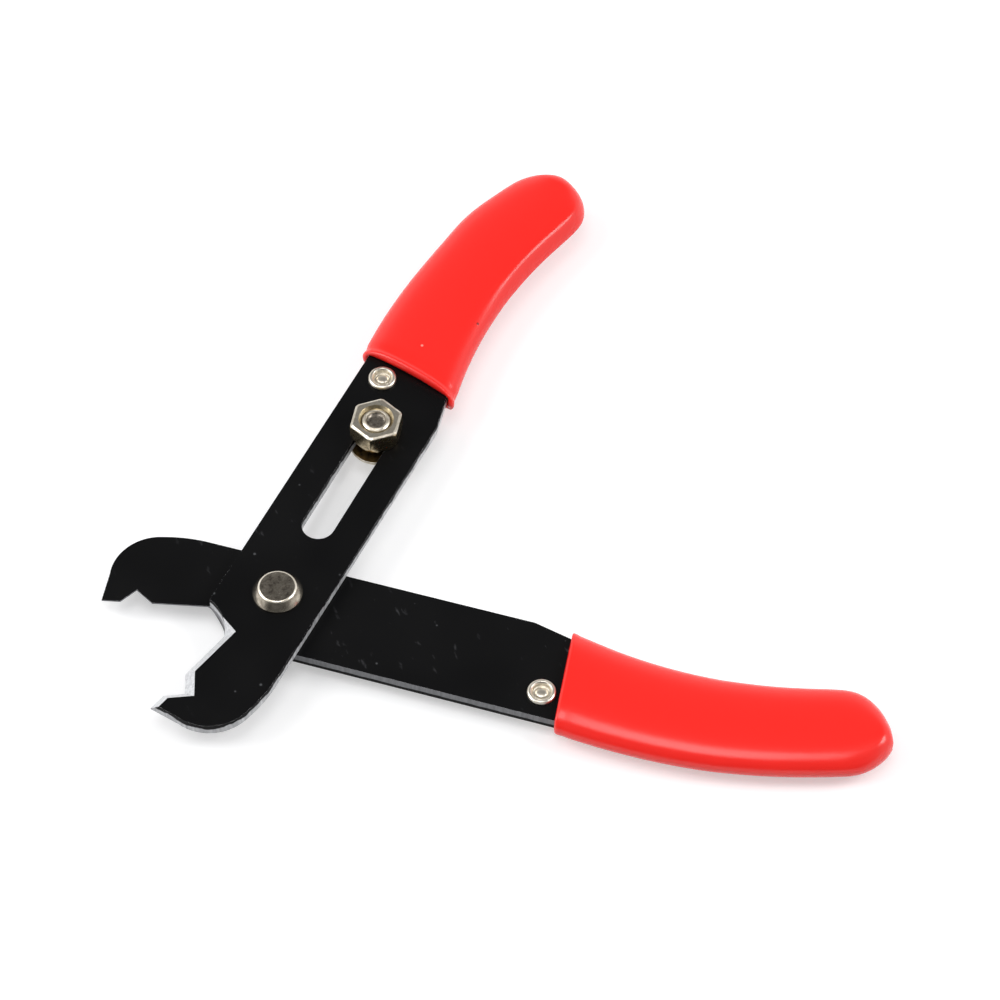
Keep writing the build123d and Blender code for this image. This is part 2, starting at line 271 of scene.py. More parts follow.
black_enamel = new_material("black_stove_enamel")
tree = black_enamel.node_tree
place = coat_coordinates(tree)
peel = node(tree, "ShaderNodeTexNoise", None, {"Vector": place, "Scale": per_size(peel_size), "Detail": 2.0})
cells = node(tree, "ShaderNodeTexVoronoi", None, {"Vector": place, "Scale": per_size(speck_spacing)})
specks = ramp(tree, cells.outputs["Distance"], speck_radius_share, speck_radius_share + speck_edge_share,
              white, black)
stretched = node(tree, "ShaderNodeMapping", None, {
    "Vector": place,
    "Rotation": (0, 0, scratch_tilt),
    "Scale": (scratch_stretch, 1, 1),
})
rubbed = node(tree, "ShaderNodeTexNoise", None, {
    "Vector": stretched.outputs[0],
    "Scale": per_size(scratch_length),
    "Detail": 4.0,
})
scratches = ramp(tree, rubbed.outputs["Fac"], 0.66, 0.76, black, white)
cloud = node(tree, "ShaderNodeTexNoise", None, {
    "Vector": place,
    "Scale": per_size(scratched_patch),
    "Detail": 1.0,
})
scratched_area = ramp(tree, cloud.outputs["Fac"], 0.5, 0.62, black, white)
scratch_mask = node(tree, "ShaderNodeMath", {"operation": "MULTIPLY"}, {0: scratches, 1: scratched_area})
scratch_tint = node(tree, "ShaderNodeMix", {"data_type": "RGBA"}, {
    "Factor": scratch_mask.outputs[0],
    6: linear(enamel_colour),
    7: linear(enamel_scratch_colour),
})
speck_tint = node(tree, "ShaderNodeMix", {"data_type": "RGBA"}, {
    "Factor": specks,
    6: scratch_tint.outputs[2],
    7: linear(enamel_speck_colour),
})
enamel_roughness = ramp(tree, cloud.outputs["Fac"], 0.3, 0.7, grey(enamel_gloss[0]), grey(enamel_gloss[1]))
enamel_relief = node(tree, "ShaderNodeBump", None, {
    "Height": peel.outputs["Fac"],
    "Strength": 0.25,
    "Distance": 0.01 * mm,
})
enamel = node(tree, "ShaderNodeBsdfPrincipled", None, {
    "Base Color": speck_tint.outputs[2],
    "Roughness": enamel_roughness,
    "Specular IOR Level": 0.16,
    "Normal": enamel_relief.outputs["Normal"],
})
node(tree, "ShaderNodeOutputMaterial", None, {"Surface": enamel.outputs[0]})

# Sheared steel: the stamped side of the plate, bright and dull grey near the face where the two arms
# meet, streaked through its thickness, and dark beyond a ragged line: enamel on the upper arm, and on
# the lower arm a painted shade band along its bottom edge. The one steel is painted lighter on the
# upper arm and darker on the lower arm, as painted light and shade.
streak_size = 0.5
streak_flattening = 0.12
torn_range = (0.36, 0.64)
border_softness = 0.05
meeting_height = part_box("upper_arm")[0].z


def sheared_side(name, light, dark, bare_height, ragged_height, ragged_length):
    """The side's finish: bare to this height from the meeting face, with this raggedness."""
    material = new_material(name)
    tree = material.node_tree
    place = coat_coordinates(tree)
    upright_streaks = node(tree, "ShaderNodeMapping", None, {
        "Vector": place,
        "Scale": (1, 1, streak_flattening),
    })
    streaks = node(tree, "ShaderNodeTexNoise", None, {
        "Vector": upright_streaks.outputs[0],
        "Scale": per_size(streak_size),
        "Detail": 3.0,
    })
    torn = node(tree, "ShaderNodeTexNoise", None, {
        "Vector": place,
        "Scale": per_size(ragged_length),
        "Detail": 3.0,
        "Roughness": 0.5,
    })
    heights = node(tree, "ShaderNodeSeparateXYZ", None, {"Vector": place})
    from_face = node(tree, "ShaderNodeMath", {"operation": "SUBTRACT"}, {
        0: heights.outputs["Z"],
        1: meeting_height,
    })
    depth = node(tree, "ShaderNodeMath", {"operation": "ABSOLUTE"}, {0: from_face.outputs[0]})
    tears = node(tree, "ShaderNodeMapRange", None, {
        "Value": torn.outputs["Fac"],
        "From Min": torn_range[0],
        "From Max": torn_range[1],
    })
    ragged = node(tree, "ShaderNodeMath", {"operation": "MULTIPLY_ADD"}, {
        0: tears.outputs["Result"],
        1: ragged_height * mm,
        2: depth.outputs[0],
    })
    border = bare_height + ragged_height / 2
    # Beyond the border the side takes the enamel's colour: enamel on the upper arm, painted shade on the
    # lower arm.
    enamel_and_shade_share = node(tree, "ShaderNodeMapRange", None, {
        "Value": ragged.outputs[0],
        "From Min": (border - border_softness) * mm,
        "From Max": (border + border_softness) * mm,
    })
    streak_tint = ramp(tree, streaks.outputs["Fac"], 0.3, 0.75, linear(light), linear(dark))
    side_tint = node(tree, "ShaderNodeMix", {"data_type": "RGBA"}, {
        "Factor": enamel_and_shade_share.outputs["Result"],
        6: streak_tint,
        7: linear(enamel_colour),
    })
    relief = node(tree, "ShaderNodeBump", None, {
        "Height": streaks.outputs["Fac"],
        "Strength": 0.5,
        "Distance": 0.03 * mm,
    })
    shine = node(tree, "ShaderNodeMapRange", None, {
        "Value": enamel_and_shade_share.outputs["Result"],
        "To Min": 0.4,
        "To Max": 0.05,
    })
    side = node(tree, "ShaderNodeBsdfPrincipled", None, {
        "Base Color": side_tint.outputs[2],
        "Roughness": 0.5,
        "Specular IOR Level": shine.outputs["Result"],
        "Normal": relief.outputs["Normal"],
    })
    node(tree, "ShaderNodeOutputMaterial", None, {"Surface": side.outputs[0]})
    return material


# One sheared steel in a lit and a shaded copy: painted light on the upper arm, painted shade on the lower.
upper_side_painted_light = sheared_side("upper_arm_sheared_side_painted_light", "#D6D7D9", "#98999C", 1.3, 0.5, 2.0)
lower_side_painted_shade = sheared_side("lower_arm_sheared_side_painted_shade", "#7C7D80", "#5E5F62", 1.45, 0.12, 1.5)

# Ground steel: the bevel, bright and bare, with fine grinding lines that run down the slope.
ground_light = "#E4E5E7"
ground_dark = "#B9BABD"
grinding_line_size = 0.4

ground_steel = new_material("ground_steel_bevel")
tree = ground_steel.node_tree
place = coat_coordinates(tree)
lines = node(tree, "ShaderNodeTexNoise", None, {
    "Vector": place,
    "Scale": per_size(grinding_line_size),
    "Detail": 4.0,
    "Roughness": 0.7,
})
ground = node(tree, "ShaderNodeBsdfPrincipled", None, {
    "Base Color": ramp(tree, lines.outputs["Fac"], 0.35, 0.7, linear(ground_light), linear(ground_dark)),
    "Roughness": 0.42,
    "Metallic": 0.15,
})
node(tree, "ShaderNodeOutputMaterial", None, {"Surface": ground.outputs[0]})

# Rubbed edge: the narrow rounded rim where the enamel has worn through to the steel; its bright steel is
# also a painted highlight of the light the rim catches.
worn_and_highlight_bright = "#E0E1E3"
rubbed_dark = "#161617"
wear_size = 1.6

# Bright steel on the rim: wear, and a painted highlight.
worn_rim_and_highlight = new_material("worn_steel_rim_and_painted_highlight")
tree = worn_rim_and_highlight.node_tree
place = coat_coordinates(tree)
wear = node(tree, "ShaderNodeTexNoise", None, {"Vector": place, "Scale": per_size(wear_size), "Detail": 4.0})
rim = node(tree, "ShaderNodeBsdfPrincipled", None, {
    "Base Color": ramp(tree, wear.outputs["Fac"], 0.50, 0.58, linear(worn_and_highlight_bright), linear(rubbed_dark)),
    "Roughness": 0.38,
    "Metallic": 0.05,
})
node(tree, "ShaderNodeOutputMaterial", None, {"Surface": rim.outputs[0]})


def finish_piece(name, form, materials, body, replaced):
    """Writes a bmesh as a named piece with its materials, on its body and in place of CAD nodes."""
    mesh = bpy.data.meshes.new(name)
    form.to_mesh(mesh)
    form.free()
    for material in materials:
        mesh.materials.append(material)
    piece = bpy.data.objects.new(name, mesh)
    bpy.context.scene.collection.objects.link(piece)
    if body:
        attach(piece, body)
    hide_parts(*replaced)
    return piece


def stamped_arm(name, cad_node, side):
    """The arm's plate as one clean mesh with small rounded edges, from the node's own faces."""
    form = bmesh.new()
    form.from_mesh(frame["nodes"][cad_node].data)
    bmesh.ops.remove_doubles(form, verts=form.verts, dist=seam_distance)
    bmesh.ops.dissolve_limit(form, angle_limit=flat_angle, verts=form.verts, edges=form.edges)
    for face in form.faces:
        lean = abs(face.normal.z)
        face.material_index = on_face if lean > flat_lean else on_bevel if lean > bevel_lean else on_side
        face.smooth = face.material_index == on_side
    for edge in form.edges:
        edge.smooth = edge.is_manifold and edge.calc_face_angle() < sharp_angle
    rims = [
        edge for edge in form.edges
        if edge.is_manifold and edge.calc_face_angle() > sharp_angle
        and {face.material_index for face in edge.link_faces} == {on_face, on_side}
    ]
    bmesh.ops.bevel(form, geom=rims, offset=edge_round, offset_type="OFFSET", segments=edge_segments,
                    profile=0.5, affect="EDGES", material=on_rim, clamp_overlap=True)
    for face in form.faces:
        if face.material_index == on_rim:
            face.smooth = True
    finish_piece(name, form, [black_enamel, side, ground_steel, worn_rim_and_highlight], cad_node,
                 [cad_node])


stamped_arm("upper_arm_plate", "upper_arm", upper_side_painted_light)


# Lower arm. The same black enamelled blank of spring steel, turned face down and without a slot, so
# its ground bevel looks at the floor. The pivot rivet's shoulder seats on its back.
stamped_arm("lower_arm_plate", "lower_arm", lower_side_painted_shade)


# Red sleeves. Soft PVC tubes moulded by dipping, pushed over the handles while warm: a thin rounded
# lip at the mouth, a gently crowned back, a soft fold along the inner side near the end, and on the
# lower one the drip left at the closed end. Points are in the arm's own plane, in millimetres: x
# along the arm, y to its outer edge.
mouth_outer = Vector((49.6, 10.3))
mouth_inner = Vector((47.4, -8.25))
outer_turn = Vector((72.5, 9.8))
inner_turn = Vector((70.0, -6.45))
end_centre = Vector((91.94, -3.13))
end_radius = 7.78
outer_end_angle = 69.5
inner_end_angle = -94.5
tip_angle = 2.0
upper_mouth_shifts = (Vector((0.0, 0.0)), Vector((-0.35, -0.3)))
upper_end_shift = Vector((0.35, 0.0))
lower_mouth_shifts = (Vector((0.5, 0.0)), Vector((0.5, -0.3)))
lower_end_shift = Vector((1.8, 0.0))
half_sleeve = 3.0
sleeve_wall = 1.26
pocket_half = 1.14
pocket_end = 97.0
pocket_squareness = 60
body_squareness = 6.0
tip_squareness = 2.2
rim_depth = 2.7
crown = 0.22
flank_rise = 2.6
flank_power = 0.7
flank_edge = 0.07
fold_start = 14
fold_growth = 14
fold_end = (1.5, 5.0)
tip_reach = 9.0
mouth_hollow = 0.75
hollow_reach = 8.0
hollow_left = 0.65
neck_depths = ((0.9, 0.03), (1.15, 0.12), (1.5, 0.18), (2.0, 0.13), (2.6, 0.04))
plain_neck = 0.3
drip_reach = 1.36
drip_spread = 0.12
drip_inner = (60.0, 2.2)
drip_outer = (67.5, 0.9)
upper_swell = (85.5, 7.0, 0.75)
lower_swell = (79.0, 22.0, 0.6)
swell_fade = 9.0
side_steps = 44
end_steps = 30
lip_steps = 8
section_steps = 200
smoothing_passes = 24
smoothed_part = (26, -8)

arm_direction = next(joint for joint in frame["joints"] if joint["name"] == "stop_slide")["axis"]
half_open = atan2(arm_direction[1], arm_direction[0])
plate_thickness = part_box("upper_arm")[1].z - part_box("upper_arm")[0].z
upper_seat = Matrix.Translation((0, 0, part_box("upper_arm")[0].z)) @ Matrix.Rotation(half_open, 4, "Z")
lower_seat = (
    Matrix.Translation((0, 0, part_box("lower_arm")[1].z))
    @ Matrix.Rotation(pi, 4, "X")
    @ Matrix.Rotation(half_open, 4, "Z")
)


def arc(start, through, end, steps):
    """Points along the circle through three points, from the first to the last."""
    a, b, c = start, through, end
    cross = 2 * ((b - a).x * (c - a).y - (b - a).y * (c - a).x)
    centre = a + Vector((
        (c - a).y * (b - a).length_squared - (b - a).y * (c - a).length_squared,
        (b - a).x * (c - a).length_squared - (c - a).x * (b - a).length_squared,
    )) / cross
    first = atan2(*(a - centre).yx)
    sweep = atan2(*(c - centre).yx) - first
    if cross > 0 and sweep < 0:
        sweep += 2 * pi
    if cross < 0 and sweep > 0:
        sweep -= 2 * pi
    return turned_points(centre, (a - centre).length, first, first + sweep, steps)


def turned_points(centre, radius, first, last, steps):
    """Points on a circle between two angles."""
    turns = [first + (last - first) * i / steps for i in range(steps + 1)]
    return [centre + radius * Vector((cos(turn), sin(turn))) for turn in turns]


def drip_bulge(angle):
    """How far the closed end stands out beyond its circle at this angle, where the drip drew it."""
    span, power = drip_outer if angle > tip_angle else drip_inner
    return drip_spread + drip_reach * max(0.0, 1 - abs(angle - tip_angle) / span) ** power


def sleeve_stations(mouth_shifts, end_shift, swell, dripped):
    """Pairs of points on the sleeve's outer and inner side, from the mouth round to the tip."""
    centre = end_centre + end_shift
    first, last = smoothed_part
    sides = []
    for mouth, through, end_angle in (
        (mouth_outer + mouth_shifts[0], outer_turn, outer_end_angle),
        (mouth_inner + mouth_shifts[1], inner_turn, inner_end_angle),
    ):
        end = turned_points(centre, end_radius, radians(end_angle), radians(tip_angle), end_steps)
        if dripped:
            angles = [end_angle + (tip_angle - end_angle) * i / end_steps for i in range(end_steps + 1)]
            end = [at + (at - centre).normalized() * drip_bulge(angle) for at, angle in zip(end, angles)]
        side = arc(mouth, through, end[0], side_steps)[:-1] + end
        for _ in range(smoothing_passes):
            side[first:last] = [
                (a + 2 * b + c) / 4 for a, b, c in zip(side[first - 1:], side[first:last], side[first + 1:])
            ]
        sides.append(side)
    middle, reach, amount = swell
    tip = sides[0][-1]
    sides[0] = [
        at + Vector((0, amount * exp(-((at.x - middle) / reach) ** 2))) * ease((at - tip).length / swell_fade)
        for at in sides[0]
    ]
    return list(zip(*sides))


def ease(value):
    """Smooth step from 0 to 1."""
    value = min(max(value, 0.0), 1.0)
    return value * value * (3 - 2 * value)


def section_point(turn, squareness, fold):
    """A point of the unit section at this turn: x from inner -1 to outer 1, z from -1 to 1."""
    quarter = asin(min(1.0, abs(sin(turn)))) / (pi / 2)
    x = (1 - quarter ** 2) * (1 if cos(turn) > 0 else -1)
    top = 1 - crown * x * x
    z = sqrt(max(0.0, 1 - abs(x) ** squareness)) * top
    if x < 0 and fold > 0:
        flank = flank_rise * max(0.0, 1 + x) ** flank_power
        z += fold * (-flank_edge * log(exp(-top / flank_edge) + exp(-flank / flank_edge)) - z)
    return x, z * (1 if sin(turn) > 0 else -1)


def place_ring(ring, turn_layer, outer, inner, half_height, squareness, fold, hollow):
    """Sets a ring of the sleeve on its section between two points of the outline."""
    middle = (outer + inner) / 2
    across = (outer - inner) / 2
    for vert in ring:
        x, z = section_point(vert[turn_layer], squareness, fold)
        at = middle + across * x + Vector((hollow * z * z, 0))
        vert.co = (at.x * mm, at.y * mm, z * half_height * mm + plate_thickness / 2)


def sleeve_rings(stations, hollow, folded):
    """Each ring's two points, half height, squareness, fold and hollow: pocket, lip, body, closed end."""
    outer, inner = stations[0]
    along = (stations[1][0] - outer).normalized()
    inner_along = (stations[1][1] - inner).normalized()
    tip = stations[-1][0]
    rings = []
    for i, (a, b) in reversed(list(enumerate(stations))[1:]):
        inward = (b - a).normalized() * sleeve_wall
        if (a.x + b.x) / 2 < pocket_end and (a - b).length > 2.2 * sleeve_wall:
            rings.append((a + inward, b - inward, pocket_half, pocket_squareness, 0.0,
                          hollow * max(0.0, 1 - i / hollow_reach)))
    lip = sleeve_wall / 2
    for i in range(lip_steps + 1):
        turn = pi * i / lip_steps
        ahead = lip * (1 - sin(turn))
        grow = (1 - cos(turn)) / 2
        outward = (outer - inner).normalized() * (grow - 1) * sleeve_wall
        squareness = pocket_squareness + (body_squareness - pocket_squareness) * sqrt(grow)
        height = pocket_half + (half_sleeve - pocket_half) * grow
        rings.append((outer + outward + along * ahead, inner - outward + inner_along * ahead,
                      height, squareness, 0.0, hollow))
    for ahead, depth in neck_depths:
        neck = depth * (plain_neck + (1 - plain_neck) * folded)
        narrower = (inner - outer).normalized() * neck
        rings.append((outer + narrower + along * ahead, inner - narrower + inner_along * ahead,
                      half_sleeve - neck, body_squareness, 0.0, hollow * (1 - ahead / hollow_reach)))
    for i, (a, b) in enumerate(stations[3:-1]):
        to_tip = (tip - (a + b) / 2).length
        near = min(to_tip / rim_depth, 1.0)
        squareness = tip_squareness + (body_squareness - tip_squareness) * ease(to_tip / tip_reach)
        fold = folded * ease((i - fold_start) / fold_growth) * ease((to_tip - fold_end[0]) / fold_end[1])
        rings.append((a, b, half_sleeve * sqrt(1 - (1 - near) ** 2), squareness, fold,
                      hollow * max(0.0, hollow_left - i / hollow_reach)))
    return rings


# Plasticised PVC: bright red and glossy, a little soft inside, with a few tiny pale specks that are
# painted glints, and dark pits darkened with painted shade.
vinyl_colour = "#FA2720"
vinyl_glint_colour = "#FF9488"
vinyl_pit_shade_colour = "#8E1410"
vinyl_speck_spacing = 7.5
vinyl_speck_radius = 0.16

red_vinyl = new_material("dipped_red_pvc")
tree = red_vinyl.node_tree
place = coat_coordinates(tree)
specks = node(tree, "ShaderNodeTexVoronoi", None, {"Vector": place, "Scale": per_size(vinyl_speck_spacing)})
speck_share = vinyl_speck_radius / vinyl_speck_spacing
speck_mask = ramp(tree, specks.outputs["Distance"], speck_share, speck_share * 1.8, white, black)
kind = node(tree, "ShaderNodeSeparateColor", None, {"Color": specks.outputs["Color"]})
# Each speck is a painted glint in pale pink or a pit in painted shade.
glint_and_pit_shade_tint = ramp(tree, kind.outputs["Red"], 0.72, 0.74, linear(vinyl_glint_colour), linear(vinyl_pit_shade_colour))
vinyl_tint = node(tree, "ShaderNodeMix", {"data_type": "RGBA"}, {
    "Factor": speck_mask,
    6: linear(vinyl_colour),
    7: glint_and_pit_shade_tint,
})
speck_relief = node(tree, "ShaderNodeBump", None, {
    "Height": speck_mask,
    "Strength": 0.5,
    "Distance": 0.04 * mm,
})
vinyl = node(tree, "ShaderNodeBsdfPrincipled", None, {
    "Base Color": vinyl_tint.outputs[2],
    "Roughness": 0.25,
    "IOR": 1.53,
    "Subsurface Weight": 0.06,
    "Subsurface Radius": (0.8 * mm, 0.2 * mm, 0.15 * mm),
    "Subsurface Scale": 1.0,
    "Normal": speck_relief.outputs["Normal"],
})
node(tree, "ShaderNodeOutputMaterial", None, {"Surface": vinyl.outputs[0]})


def extrude_ring(form, edges):
    """Extrudes a ring of edges and gives the new ring's vertices and edges."""
    made = bmesh.ops.extrude_edge_only(form, edges=edges)["geom"]
    ring = [item for item in made if isinstance(item, bmesh.types.BMVert)]
    inside = set(ring)
    return ring, [
        item for item in made
        if isinstance(item, bmesh.types.BMEdge) and item.verts[0] in inside and item.verts[1] in inside
    ]


def sleeve(name, seat, body, cad_node, stations, hollow, folded):
    """One sleeve: a section extruded from the pocket's end, over the lip and on to the closed end."""
    form = bmesh.new()
    turn_layer = form.verts.layers.float.new("turn")
    ring = bmesh.ops.create_circle(form, segments=section_steps, radius=1.0)["verts"]
    for vert in ring:
        vert[turn_layer] = atan2(vert.co.y, vert.co.x)
    edges = list(form.edges)
    rings = sleeve_rings(stations, hollow, folded)
    place_ring(ring, turn_layer, *rings[0])
    bmesh.ops.contextual_create(form, geom=edges)
    for placed in rings[1:]:
        ring, edges = extrude_ring(form, edges)
        place_ring(ring, turn_layer, *placed)
    bmesh.ops.contextual_create(form, geom=edges)
    form.verts.layers.float.remove(turn_layer)
    bmesh.ops.transform(form, matrix=seat, verts=form.verts)
    bmesh.ops.recalc_face_normals(form, faces=form.faces)
    for face in form.faces:
        face.smooth = True
    finish_piece(name, form, [red_vinyl], body, [cad_node])


upper_stations = sleeve_stations(upper_mouth_shifts, upper_end_shift, upper_swell, False)
lower_stations = sleeve_stations(lower_mouth_shifts, lower_end_shift, lower_swell, True)
sleeve("upper_sleeve", upper_seat, "upper_arm", "upper_grip", upper_stations, mouth_hollow, 1.0)
sleeve("lower_sleeve", lower_seat, "lower_arm", "lower_grip", lower_stations, 0.0, 0.0)


# Pivot rivet. A shouldered steel pin, nickel plated: a flat head on the underside, a shoulder for the
# spring, and at the top a coned head that was struck flat, so its face is dull and bruised.
pivot_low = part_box("pivot_rivet")[0].z / mm
pivot_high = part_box("pivot_rivet")[1].z / mm
pivot_arm_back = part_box("lower_arm")[0].z / mm
pivot_arm_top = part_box("upper_arm")[1].z / mm
pivot_rim_highlight_depth = 0.18
pivot_face_radius = 2.85
face_skin = 0.02
turned_steps = 96
pivot_profile = [
    (0, pivot_low), (5.15, pivot_low), (5.4, pivot_low + 0.25), (5.4, pivot_low + 0.9),
    (3.3, pivot_low + 0.9), (3.3, pivot_arm_back), (2.49, pivot_arm_back), (2.49, pivot_arm_top + 0.03),
    (4.15, pivot_arm_top + 0.03), (4.15, pivot_arm_top + 0.3), (3.2, pivot_high - 0.2),
    (3.12, pivot_high - 0.12), (2.87, pivot_high), (0, pivot_high),
]


def turned_piece(profile, edge_rounding, rounding_steps=3):
    """A closed form spun from a half section of radius and height, its sharp rings rounded."""
    form = bmesh.new()
    points = [form.verts.new((radius * mm, 0, height * mm)) for radius, height in profile]
    lines = [form.edges.new(pair) for pair in zip(points, points[1:])]
    bmesh.ops.spin(form, geom=points + lines, cent=(0, 0, 0), axis=(0, 0, 1), angle=2 * pi,
                   steps=turned_steps, use_merge=True)
    bmesh.ops.remove_doubles(form, verts=form.verts, dist=seam_distance)
    bmesh.ops.recalc_face_normals(form, faces=form.faces)
    sharp = [edge for edge in form.edges if edge.is_manifold and edge.calc_face_angle() > sharp_angle]
    bmesh.ops.bevel(form, geom=sharp, offset=edge_rounding * mm, offset_type="OFFSET",
                    segments=rounding_steps, profile=0.5, affect="EDGES", material=-1, clamp_overlap=True)
    for face in form.faces:
        face.smooth = True
    return form


def plated_metal(name, bright, dark, mottle_size, scratch_strength, roughness):
    """Nickel plate: warm grey metal, mottled where it has dulled, with fine scratches."""
    material = new_material(name)
    tree = material.node_tree
    place = coat_coordinates(tree)
    mottle = node(tree, "ShaderNodeTexNoise", None, {
        "Vector": place,
        "Scale": per_size(mottle_size),
        "Detail": 5.0,
        "Roughness": 0.65,
    })
    scored = node(tree, "ShaderNodeTexNoise", None, {
        "Vector": place,
        "Scale": per_size(mottle_size * 0.6),
        "Detail": 6.0,
        "Distortion": 2.5,
    })
    relief = node(tree, "ShaderNodeBump", None, {
        "Height": scored.outputs["Fac"],
        "Strength": scratch_strength,
        "Distance": 0.05 * mm,
    })
    low, high = roughness
    metal = node(tree, "ShaderNodeBsdfPrincipled", None, {
        "Base Color": ramp(tree, mottle.outputs["Fac"], 0.35, 0.68, linear(bright), linear(dark)),
        "Metallic": 1.0,
        "Roughness": ramp(tree, mottle.outputs["Fac"], 0.35, 0.7, grey(low), grey(high)),
        "Normal": relief.outputs["Normal"],
    })
    node(tree, "ShaderNodeOutputMaterial", None, {"Surface": metal.outputs[0]})
    return material


nickel_plate = plated_metal("nickel_plated_steel", "#E6DFD1", "#AFA593", 1.3, 0.2, (0.26, 0.42))
polished_nickel = plated_metal("polished_nickel_plate", "#CBC2B2", "#7D7468", 1.4, 0.12, (0.13, 0.22))
smooth_nickel = plated_metal("smooth_nickel_plate", "#F2EBDD", "#DAD1C1", 2.5, 0.02, (0.30, 0.36))
struck_face_and_cup_shade_nickel = plated_metal("struck_face_and_painted_cup_shade", "#A79F92", "#4C463F", 0.8, 0.7, (0.26, 0.42))

pivot_form = turned_piece(pivot_profile, 0.06, 2)
for face in pivot_form.faces:
    middle = face.calc_center_median()
    if middle.z > (pivot_high - face_skin) * mm and middle.xy.length < pivot_face_radius * mm:
        face.material_index = 1
    # The band round the top's rim takes the brighter smooth nickel: a painted highlight ring.
    elif middle.z > (pivot_high - pivot_rim_highlight_depth) * mm:
        face.material_index = 2
finish_piece("pivot_pin", pivot_form, [polished_nickel, struck_face_and_cup_shade_nickel, smooth_nickel], "lower_arm",
             ["pivot_rivet"])


# Tubular rivets. Small plated rivets that hold the spring's hooks: a low head at the back, and a
# hollow end rolled outward on the arm's face into a bright ring round a small cup.
def tubular_rivet(name, cad_node, arm):
    """One rivet, with its rolled end on the arm's upper face."""
    low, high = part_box(cad_node)
    centre = (low + high) / 2
    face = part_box(arm)[1].z / mm
    base = low.z / mm
    profile = [
        (0, base), (2.2, base), (2.4, base + 0.2), (2.4, base + 0.75), (1.59, base + 0.75),
        (1.59, face), (2.25, face), (2.4, face + 0.14), (2.42, face + 0.38), (2.28, face + 0.64),
        (2.03, face + 0.78), (1.78, face + 0.74), (1.6, face + 0.56), (1.5, face + 0.2), (1.36, face - 0.1),
        (1.18, face - 0.14), (1.02, face - 0.02), (0.88, face + 0.18), (0.55, face + 0.29), (0, face + 0.32),
    ]
    form = turned_piece(profile, 0.05)
    bmesh.ops.translate(form, vec=(centre.x, centre.y, 0), verts=form.verts)
    finish_piece(name, form, [smooth_nickel], arm, [cad_node])


tubular_rivet("upper_tubular_rivet", "upper_rivet", "upper_arm")
tubular_rivet("lower_tubular_rivet", "lower_rivet", "lower_arm")


# Adjusting screw. A plated machine screw pushed up through the slot from behind: a low round head with
# a driver slot, a threaded shank, and an end turned to a bright ring round a cup. The thread and the
# head's face are painted dark brown: painted shade, where they sit under the arm.
thread_and_head_painted_shade = plated_metal("thread_and_head_painted_shade", "#7A6038", "#1E1A15", 1.6, 0.1, (0.3, 0.45))

screw_low, screw_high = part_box("stop_screw")
screw_centre = (screw_low + screw_high) / 2
head_low = screw_low.z / mm
head_high = head_low + 2.0
screw_top = screw_high.z / mm
thread_outer = 2.44
thread_root = 2.2
thread_pitch = 0.8
thread_turns = 7
slot_half = 0.6 * mm
slot_floor = (head_low + 0.9) * mm
head_rim = (head_high - 0.3) * mm
cup_radius = 1.62
cup_low = (screw_top - 1) * mm
head_face_radius = 4.52
screw_profile = [
    (0, head_low), (2.4, head_low + 0.1), (3.7, head_low + 0.6), (4.5, head_high - 0.7),
    (4.7, head_high - 0.4), (4.7, head_high - 0.12), (4.58, head_high), (thread_root, head_high),
]
for turn in range(thread_turns):
    crest = head_high + 0.5 + turn * thread_pitch
    screw_profile += [
        (thread_outer, crest), (thread_outer, crest + 0.1), (thread_root, crest + thread_pitch / 2),
    ]
screw_profile += [
    (thread_outer, screw_top - 0.5), (2.38, screw_top - 0.26), (1.86, screw_top), (1.74, screw_top - 0.04),
    (1.62, screw_top - 0.36), (1.3, screw_top - 0.6), (0.7, screw_top - 0.7), (0, screw_top - 0.74),
]
screw_form = turned_piece(screw_profile, 0.05, 2)
for at, across in (
    ((0, slot_half, 0), (0, 1, 0)),
    ((0, -slot_half, 0), (0, 1, 0)),
    ((0, 0, slot_floor), (0, 0, 1)),
):
    head = [face for face in screw_form.faces if face.calc_center_median().z < head_rim]
    around = {edge for face in head for edge in face.edges} | {vert for face in head for vert in face.verts}
    bmesh.ops.bisect_plane(screw_form, geom=head + list(around), plane_co=at, plane_no=across,
                           dist=seam_distance)
slot_faces = [
    face for face in screw_form.faces
    if abs(face.calc_center_median().y) < slot_half and face.calc_center_median().z < slot_floor
]
cut_slot = bmesh.ops.extrude_face_region(screw_form, geom=slot_faces)["geom"]
bmesh.ops.scale(screw_form, vec=(1, 1, 0), space=Matrix.Translation((0, 0, -slot_floor)),
                verts=[item for item in cut_slot if isinstance(item, bmesh.types.BMVert)])
bmesh.ops.delete(screw_form, geom=slot_faces, context="FACES")
bmesh.ops.remove_doubles(screw_form, verts=screw_form.verts, dist=seam_distance)
bmesh.ops.recalc_face_normals(screw_form, faces=screw_form.faces)
for edge in screw_form.edges:
    edge.smooth = edge.is_manifold and edge.calc_face_angle() < 2 * sharp_angle
for face in screw_form.faces:
    middle = face.calc_center_median()
    # The cup in the screw's end takes the darker struck nickel as painted shade in the hollow.
    if middle.z > cup_low and middle.xy.length < cup_radius * mm:
        face.material_index = 1
    # The head's face and the thread take the dark brown: painted shade under the arm.
    if (head_high - face_skin) * mm < middle.z < cup_low and middle.xy.length < head_face_radius * mm:
        face.material_index = 2
bmesh.ops.translate(screw_form, vec=(screw_centre.x, screw_centre.y, 0), verts=screw_form.verts)
finish_piece("adjusting_screw", screw_form, [nickel_plate, struck_face_and_cup_shade_nickel, thread_and_head_painted_shade], "stop",
             ["stop_screw"])


